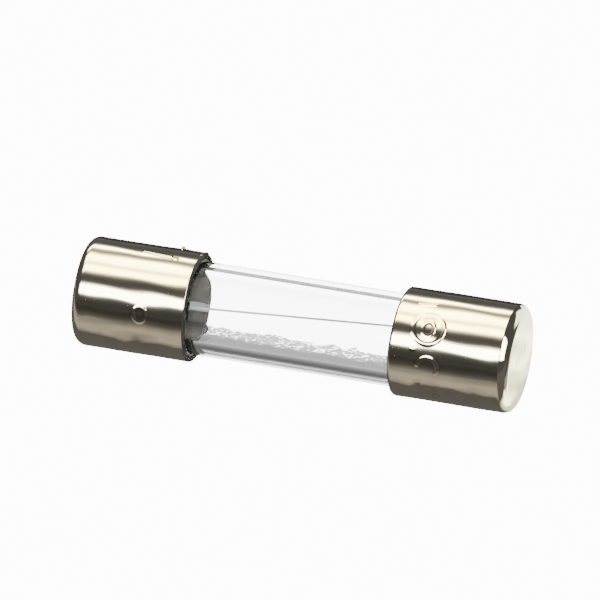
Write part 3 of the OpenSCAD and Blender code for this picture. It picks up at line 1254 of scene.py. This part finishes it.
class FUSE_OT_add_stage(bpy.types.Operator):
    """Adds the camera, the pale floor and the soft studio light."""

    bl_idname = "fuse.add_stage"
    bl_label = "Stage"

    def execute(self, context):
        settings = context.scene.fuse_stage
        add_camera(settings)
        add_floor(settings)
        studio_world(settings)
        for light in LIGHTS:
            add_light(*light)
        return {"FINISHED"}


class FUSE_OT_add_glass(bpy.types.Operator):
    """Adds the glass tube."""

    bl_idname = "fuse.add_glass"
    bl_label = "Glass tube"

    def execute(self, context):
        settings = context.scene.fuse_glass
        add_piece("glass_body", glass_mesh(settings), glass_material(settings), "glass_tube")
        return {"FINISHED"}


class FUSE_OT_add_caps(bpy.types.Operator):
    """Adds the two plated end caps with their stamped marks."""

    bl_idname = "fuse.add_caps"
    bl_label = "End caps"

    def execute(self, context):
        settings = context.scene.fuse_cap
        plate, edge = nickel_material(settings), cut_edge_material(settings)
        for side, name in SIDES.items():
            mesh = cap_mesh(side, settings)
            add_piece(f"{name}_cap", mesh, plate, f"end_cap_{name}")
            wear_where(mesh, "cut_edge", edge)
        return {"FINISHED"}


class FUSE_OT_add_wire(bpy.types.Operator):
    """Adds the fuse wire."""

    bl_idname = "fuse.add_wire"
    bl_label = "Fuse wire"

    def execute(self, context):
        settings = context.scene.fuse_wire
        material = patchy_metal("Tinned wire", settings.metal, **TINNED)
        add_piece("fuse_link", wire_mesh(settings), material, "fuse_wire")
        return {"FINISHED"}


class FUSE_OT_add_solder(bpy.types.Operator):
    """Adds the solder in the two caps."""

    bl_idname = "fuse.add_solder"
    bl_label = "Solder"

    def execute(self, context):
        scene = context.scene
        material = patchy_metal("Solder", scene.fuse_solder.metal, **FROSTED)
        for side, name in SIDES.items():
            mesh = solder_mesh(side, scene.fuse_solder, scene.fuse_cap, scene.fuse_glass)
            add_piece(f"{name}_solder", mesh, material, f"solder_{name}")
        return {"FINISHED"}


class FUSE_OT_add_cement(bpy.types.Operator):
    """Adds the cement between the glass and the two caps."""

    bl_idname = "fuse.add_cement"
    bl_label = "Cement"

    def execute(self, context):
        scene = context.scene
        material = cement_material(scene.fuse_cement)
        for side, name in SIDES.items():
            mesh = cement_mesh(side, scene.fuse_cement, scene.fuse_glass)
            add_piece(f"{name}_cement", mesh, material, f"cement_{name}")
        return {"FINISHED"}


class FUSE_PT_panel(bpy.types.Panel):
    """Lists the fuse's pieces in the sidebar."""

    bl_idname = "FUSE_PT_panel"
    bl_label = "Cartridge fuse"
    bl_space_type = "VIEW_3D"
    bl_region_type = "UI"
    bl_category = "Fuse"

    def draw(self, context):
        for operator in OPERATORS:
            self.layout.operator(operator.bl_idname)
        for name, group in SETTINGS.items():
            box = self.layout.box()
            box.label(text=group.__name__)
            for key in group.__annotations__:
                box.prop(getattr(context.scene, name), key)


SETTINGS = {
    "fuse_stage": StageSettings,
    "fuse_glass": GlassSettings,
    "fuse_cap": CapSettings,
    "fuse_wire": WireSettings,
    "fuse_solder": SolderSettings,
    "fuse_cement": CementSettings,
}
OPERATORS = (
    FUSE_OT_add_stage,
    FUSE_OT_add_glass,
    FUSE_OT_add_caps,
    FUSE_OT_add_wire,
    FUSE_OT_add_solder,
    FUSE_OT_add_cement,
)


def register():
    for name, group in SETTINGS.items():
        bpy.utils.register_class(group)
        setattr(bpy.types.Scene, name, bpy.props.PointerProperty(type=group))
    for part in (*OPERATORS, FUSE_PT_panel):
        bpy.utils.register_class(part)


def unregister():
    for part in (FUSE_PT_panel, *reversed(OPERATORS)):
        bpy.utils.unregister_class(part)
    for name, group in SETTINGS.items():
        delattr(bpy.types.Scene, name)
        bpy.utils.unregister_class(group)


def main():
    register()
    bpy.ops.fuse.add_stage()
    bpy.ops.fuse.add_glass()
    bpy.ops.fuse.add_caps()
    bpy.ops.fuse.add_wire()
    bpy.ops.fuse.add_solder()
    bpy.ops.fuse.add_cement()


if __name__ == "__main__":
    main()
